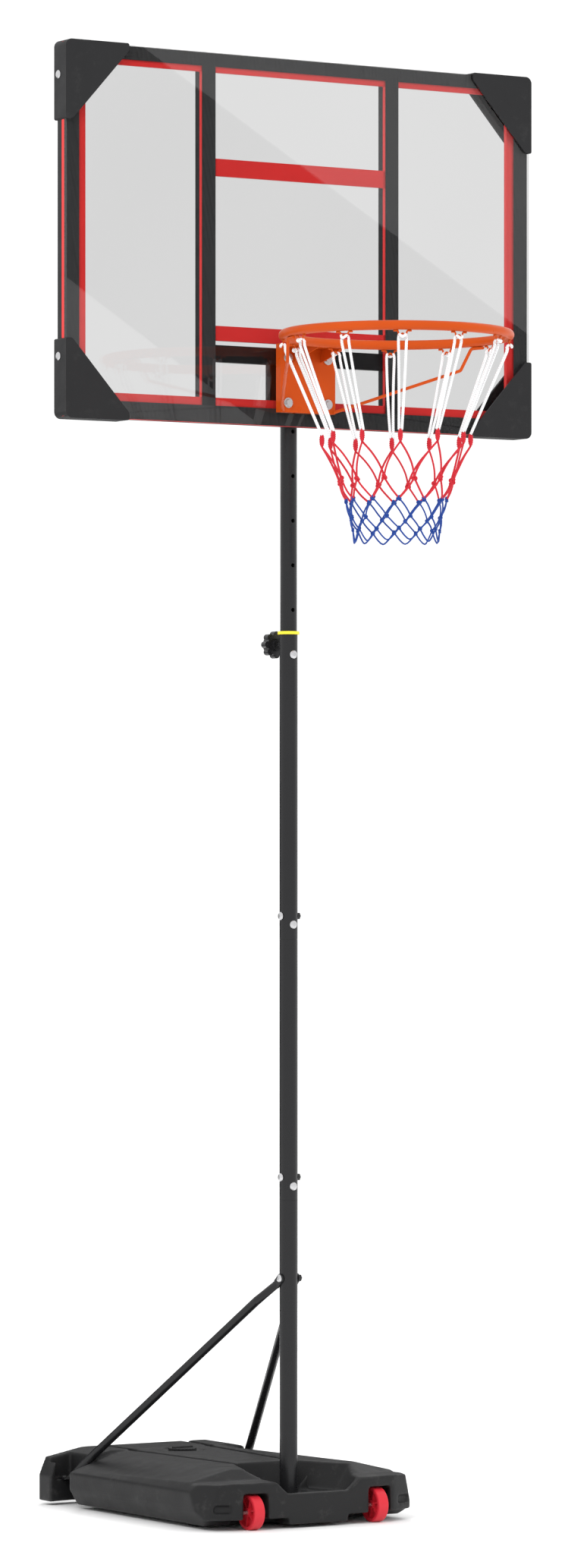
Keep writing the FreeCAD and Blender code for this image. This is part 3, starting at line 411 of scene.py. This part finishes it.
# ---------------------------------------------------------------- cords
def smooth_path(points, step):
    """Even points along a curve through the given ones."""
    full = [2 * points[0] - points[1]] + points + [2 * points[-1] - points[-2]]
    path = [points[0]]
    for i in range(1, len(full) - 2):
        a, b, c, d = full[i - 1:i + 3]
        count = max(2, round((c - b).length / step))
        for k in range(1, count + 1):
            t = k / count
            path.append(0.5 * (2 * b + (c - a) * t + (2 * a - 5 * b + 4 * c - d) * t * t
                               + (3 * b - a - 3 * c + d) * t ** 3))
    return path


class Skein:
    """Collects round cords into one mesh, with UVs that run round and along each cord."""

    def __init__(self, name, material, sides):
        self.bm = bmesh.new()
        self.uv = self.bm.loops.layers.uv.new("UVMap")
        self.name = name
        self.material = material
        self.sides = sides

    def ring(self, centre, normal, side, radius):
        verts = []
        for k in range(self.sides):
            angle = 2 * math.pi * k / self.sides
            out = normal * math.cos(angle) + side * math.sin(angle)
            verts.append(self.bm.verts.new(centre + out * radius))
        return verts

    def tube(self, path, radius, taper=None, closed=False):
        """Skins a path; taper gives the radius factor at a share of the length."""
        count = len(path)
        along = [0.0]
        for i in range(1, count):
            along.append(along[-1] + (path[i] - path[i - 1]).length)
        normal = None
        rings = []
        for i, point in enumerate(path):
            tangent = (path[min(i + 1, count - 1)] - path[max(i - 1, 0)]).normalized()
            if closed and i in (0, count - 1):
                tangent = (path[1] - path[count - 2]).normalized()
            if normal is None:
                normal = tangent.orthogonal().normalized()
            normal = (normal - tangent * normal.dot(tangent)).normalized()
            size = radius * (taper(along[i] / along[-1]) if taper else 1)
            rings.append(self.ring(point, normal, tangent.cross(normal), size))
        for i in range(count - 1):
            for k in range(self.sides):
                m = (k + 1) % self.sides
                face = self.bm.faces.new((rings[i][k], rings[i][m], rings[i + 1][m], rings[i + 1][k]))
                face.smooth = True
                for loop, (u, v) in zip(face.loops, ((k, i), (k + 1, i), (k + 1, i + 1), (k, i + 1))):
                    loop[self.uv].uv = (u / self.sides, along[v])
        if not closed:
            self.bm.faces.new(list(reversed(rings[0])))
            self.bm.faces.new(rings[-1])

    def piece(self, body, slot, stands_for):
        mesh = bpy.data.meshes.new(self.name)
        self.bm.normal_update()
        self.bm.to_mesh(mesh)
        self.bm.free()
        obj = bpy.data.objects.new(self.name, mesh)
        scene.collection.objects.link(obj)
        mesh.materials.append(self.material)
        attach(obj, body)
        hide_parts(stands_for)


# ---------------------------------------------------------------- net
HOOKS = 12
FIRST_HOOK = -90                    # degrees round the rim
# radii of the cords
WHITE_CORD = 0.0028
RED_CORD = 0.0021
BLUE_CORD = 0.0017
PATH_STEP = 0.006                   # between the rings of a cord's skin
BOTTOM_STEP = 0.005                 # the same in the small loops at the bottom

# each row of knots: height, distance from the rim's axis, and turn round the axis in hook pitches
NET_ROWS = [(2.1956, 0.1496, 0.0), (2.1126, 0.1155, 0.5), (2.0739, 0.1016, 0.0), (2.039, 0.0922, 0.5),
            (2.014, 0.0862, 0.0)]
LOOP_BOTTOM = (1.9915, 0.0858, 0.5)

# a white loop where it lies over its hook: one half and the middle, each outwards, sideways, height
LOOP_HALF = [(-0.0048, -0.0078, 2.372), (-0.0048, -0.0075, 2.380), (0, -0.0065, 2.3858),
             (0.0048, -0.004, 2.383)]
LOOP_MIDDLE = (0.005, 0, 2.381)
LOOP_GAP = 0.0028                   # half the gap between a loop's two ends, in the top of its knot
LOOP_SWAY = 0.0012

LONG_KNOT_HALF = 0.013              # half the length of the knot that closes a white loop
LONG_KNOT_CORE = 0.0050
LONG_KNOT_WRAP = 0.0045             # radius of the winding round the core
LONG_KNOT_TURNS = 5
LONG_KNOT_CORD = 0.00128
CORE_STEPS = 12
WRAP_STEPS = 60
BALL_STEPS = 36

# below each row of knots: the cords' bow outwards, and how soon they turn towards the next knot
CORD_SHAPES = [(0.004, 0.68), (0.002, 0.45), (0.003, 0.58), (0.002, 0.5)]
# size of the small knots in each row after the first, and their cord's radius
BALL_KNOTS = [(0.0018, 0.0023), (0.0015, 0.0021), (0.0012, 0.0018), (0.0012, 0.0018)]


def net_point(radius, pitch, z, tangent=0.0):
    """Point at a number of hook pitches round from the first hook, shifted sideways by tangent."""
    angle = math.radians(FIRST_HOOK + 360 / HOOKS * pitch)
    out = Vector((math.cos(angle), math.sin(angle), 0))
    side = Vector((-math.sin(angle), math.cos(angle), 0))
    return RIM_AXIS + Vector((0, 0, z)) + out * radius + side * tangent


def sideways(hook, distance):
    """Step along the rim at a hook."""
    return net_point(1, hook, 0, distance) - net_point(1, hook, 0)


def upwards(distance):
    return Vector((0, 0, distance))


def knot_points():
    """Where each knot of each row hangs, a little out of line as in a used net."""
    rows = []
    for z, radius, shift in NET_ROWS:
        row = []
        for i in range(HOOKS):
            distance = radius + rng.uniform(-0.0015, 0.0015)
            pitch = i + shift + rng.uniform(-0.012, 0.012)
            row.append(net_point(distance, pitch, z + rng.uniform(-0.002, 0.002)))
        rows.append(row)
    return rows


def white_loop(skein, knot, hook):
    """Loop over a hook, whose two legs run down into the top of the long knot."""
    over = LOOP_HALF + [LOOP_MIDDLE] + [(out, -side, z) for out, side, z in reversed(LOOP_HALF)]
    crest = [net_point(RIM_RADIUS + out, hook, z, side) for out, side, z in over]
    left_end, right_end = [knot + sideways(hook, side) + upwards(0.010) for side in (-LOOP_GAP, LOOP_GAP)]
    left = [left_end.lerp(crest[0], t) for t in (0, 0.33, 0.7)]
    right = [right_end.lerp(crest[-1], t) for t in (0.7, 0.33, 0)]
    sway = sideways(hook, rng.uniform(-LOOP_SWAY, LOOP_SWAY))
    for point in left[1:] + right[:-1]:
        point += sway
    skein.tube(smooth_path(left + crest + right, PATH_STEP), WHITE_CORD)


def long_knot(skein, top, foot):
    """Long wrapped knot: a core that swells in its middle with the cord wound round it."""
    axis = (foot - top).normalized()
    side = axis.orthogonal().normalized()
    other = axis.cross(side)
    length = (foot - top).length
    core = [top + axis * length * i / CORE_STEPS for i in range(CORE_STEPS + 1)]
    skein.tube(core, LONG_KNOT_CORE,
               taper=lambda t: 0.45 + 0.55 * math.sin(math.pi * min(1, max(0, t))) ** 0.6)
    wrap = []
    for i in range(WRAP_STEPS + 1):
        t = i / WRAP_STEPS
        turn = 2 * math.pi * LONG_KNOT_TURNS * t
        swell = LONG_KNOT_WRAP * (0.5 + 0.5 * math.sin(math.pi * t) ** 0.6)
        middle = top + axis * length * (0.1 + 0.8 * t)
        wrap.append(middle + (side * math.cos(turn) + other * math.sin(turn)) * swell)
    skein.tube(wrap, LONG_KNOT_CORD)


def ball_knot(skein, centre, size, radius):
    """Small overhand knot, a closed three-lobed loop pulled tight."""
    out = (level_place(centre) - RIM_AXIS).normalized()
    side = Vector((-out.y, out.x, 0))
    up = Vector((0, 0, 1))
    spin = rng.uniform(0, 2 * math.pi)
    path = []
    for i in range(BALL_STEPS + 1):
        t = 2 * math.pi * i / BALL_STEPS
        x = math.sin(t) + 2 * math.sin(2 * t)
        y = math.cos(t) - 2 * math.cos(2 * t)
        a = x * math.cos(spin) - y * math.sin(spin)
        b = x * math.sin(spin) + y * math.cos(spin)
        path.append(centre + side * a * size * 0.9 + up * b * size + out * -math.sin(3 * t) * size * 1.2)
    skein.tube(path, radius, closed=True)


def cord_between(skein, start, finish, radius, bow, lean):
    """Slack cord from one knot to the next: bowed outwards, its middle a share of the way round."""
    points = [start]
    for t in (0.3, 0.6, 0.85):
        point = start.lerp(finish, t + (lean - 0.5) * 4 * t * (1 - t))
        point.z = start.z + (finish.z - start.z) * t
        out = (level_place(point) - RIM_AXIS).normalized()
        points.append(point + out * bow * math.sin(math.pi * t) + upwards(rng.uniform(-0.0006, 0.0006)))
    points.append(finish)
    skein.tube(smooth_path(points, PATH_STEP), radius)


def bottom_loop(skein, start, finish, hook):
    """Loop that hangs between two knots of the last row."""
    z, radius, shift = LOOP_BOTTOM
    low = net_point(radius, hook + shift, z + rng.uniform(-0.002, 0.001))
    left, right = [knot.lerp(low, 0.55) - upwards(0.003) for knot in (start, finish)]
    skein.tube(smooth_path([start, left, low, right, finish], BOTTOM_STEP), BLUE_CORD)


def build_net():
    """White loops, red upper meshes and blue lower ones; two cords run down from each knot."""
    white = Skein("net_cords_white", materials["white_cord"], sides=8)
    red = Skein("net_cords_red", materials["red_cord"], sides=6)
    blue = Skein("net_cords_blue", materials["blue_cord"], sides=6)
    mesh_cords = [(red, RED_CORD), (red, RED_CORD), (blue, BLUE_CORD), (blue, BLUE_CORD)]
    rows = knot_points()
    for i in range(HOOKS):
        knot = rows[0][i]
        foot = knot - upwards(LONG_KNOT_HALF)
        white_loop(white, knot, i)
        long_knot(red, knot + upwards(LONG_KNOT_HALF), foot)
        for row, ((skein, radius), (bow, lean)) in enumerate(zip(mesh_cords, CORD_SHAPES)):
            start = foot if row == 0 else rows[row][i]
            neighbour = (i + (1 if row % 2 else -1)) % HOOKS
            for below in (i, neighbour):
                cord_between(skein, start, rows[row + 1][below], radius, bow, lean)
        bottom_loop(blue, rows[-1][i], rows[-1][(i + 1) % HOOKS], i)
        for row, skein, (size, radius) in zip(rows[1:], (red, blue, blue, blue), BALL_KNOTS):
            ball_knot(skein, row[i], size, radius)
    for skein in (white, red, blue):
        skein.piece("mast", "net_cord", "net")


# ---------------------------------------------------------------- tank
# turned about their axes, from the axis outwards and back: radius, height
FILLER_PLUG = [(0, 0.088), (0.027, 0.088), (0.027, 0.1075), (0.0202, 0.1075), (0.0202, 0.094), (0, 0.094)]
FOOT_BOLT_PLUG = [(0, 0.044), (0.006, 0.044), (0.006, 0.0535), (0, 0.0535)]
TANK_GRID = 0.003                   # size of the remesh's cubes
TANK_THIN = 0.4                     # share of the triangles that is kept


def largest_island(bm):
    """Deletes all but the largest connected skin."""
    seen = set()
    best = []
    for seed in bm.verts:
        if seed in seen:
            continue
        island = [seed]
        seen.add(seed)
        for vert in island:
            for edge in vert.link_edges:
                other = edge.other_vert(vert)
                if other not in seen:
                    seen.add(other)
                    island.append(other)
        if len(island) > len(best):
            best = island
    keep = set(best)
    bmesh.ops.delete(bm, geom=[vert for vert in bm.verts if vert not in keep], context="VERTS")


def turned_plug(bm, axis, profile, sides=32):
    """Solid of revolution about a vertical axis, from (radius, height) pairs."""
    rings = []
    for radius, z in profile:
        if radius == 0:
            rings.append([bm.verts.new((axis.x, axis.y, z))] * sides)
            continue
        ring = []
        for k in range(sides):
            angle = 2 * math.pi * k / sides
            x = axis.x + radius * math.cos(angle)
            y = axis.y + radius * math.sin(angle)
            ring.append(bm.verts.new((x, y, z)))
        rings.append(ring)
    for low, high in zip(rings, rings[1:]):
        for k in range(sides):
            m = (k + 1) % sides
            bm.faces.new(list(dict.fromkeys((low[k], low[m], high[m], high[k]))))


def plugged_tank():
    """The CAD shell with its filler and bolt holes closed, so that the outside is a skin of its own."""
    bm = bmesh.new()
    bm.from_mesh(nodes["base_tank"].data)
    bmesh.ops.remove_doubles(bm, verts=bm.verts, dist=0.00002)
    turned_plug(bm, FILLER_AXIS, FILLER_PLUG)
    for side in (-1, 1):
        turned_plug(bm, Vector((side * FOOT_BOLT_X, FOOT_BOLT_Y, 0)), FOOT_BOLT_PLUG)
    mesh = bpy.data.meshes.new("tank_moulding")
    bm.to_mesh(mesh)
    bm.free()
    return mesh


def remeshed_outside(obj):
    """The object's mesh rebuilt on an even grid, without the skins inside it."""
    remesh = obj.modifiers.new("remesh", "REMESH")
    remesh.mode = "VOXEL"
    remesh.voxel_size = TANK_GRID
    remesh.use_smooth_shade = True
    graph = bpy.context.evaluated_depsgraph_get()
    mesh = bpy.data.meshes.new_from_object(obj.evaluated_get(graph))
    obj.modifiers.clear()
    bm = bmesh.new()
    bm.from_mesh(mesh)
    largest_island(bm)
    bm.to_mesh(mesh)
    bm.free()
    return mesh


def build_tank():
    """Blow-moulded tank: the CAD shell remeshed and eased, so that every edge is rounded."""
    obj = bpy.data.objects.new("tank_moulding", plugged_tank())
    scene.collection.objects.link(obj)
    obj.data = remeshed_outside(obj)
    ease = obj.modifiers.new("ease", "SMOOTH")
    ease.factor = 0.5
    ease.iterations = 7
    thin = obj.modifiers.new("thin", "DECIMATE")
    thin.ratio = TANK_THIN
    paint(obj, materials["tank"])
    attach(obj, "base")
    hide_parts("base_tank")


# ---------------------------------------------------------------- the whole scene
materials = make_materials()
add_camera()
add_studio()
finish_cad_nodes()
build_net()
build_tank()
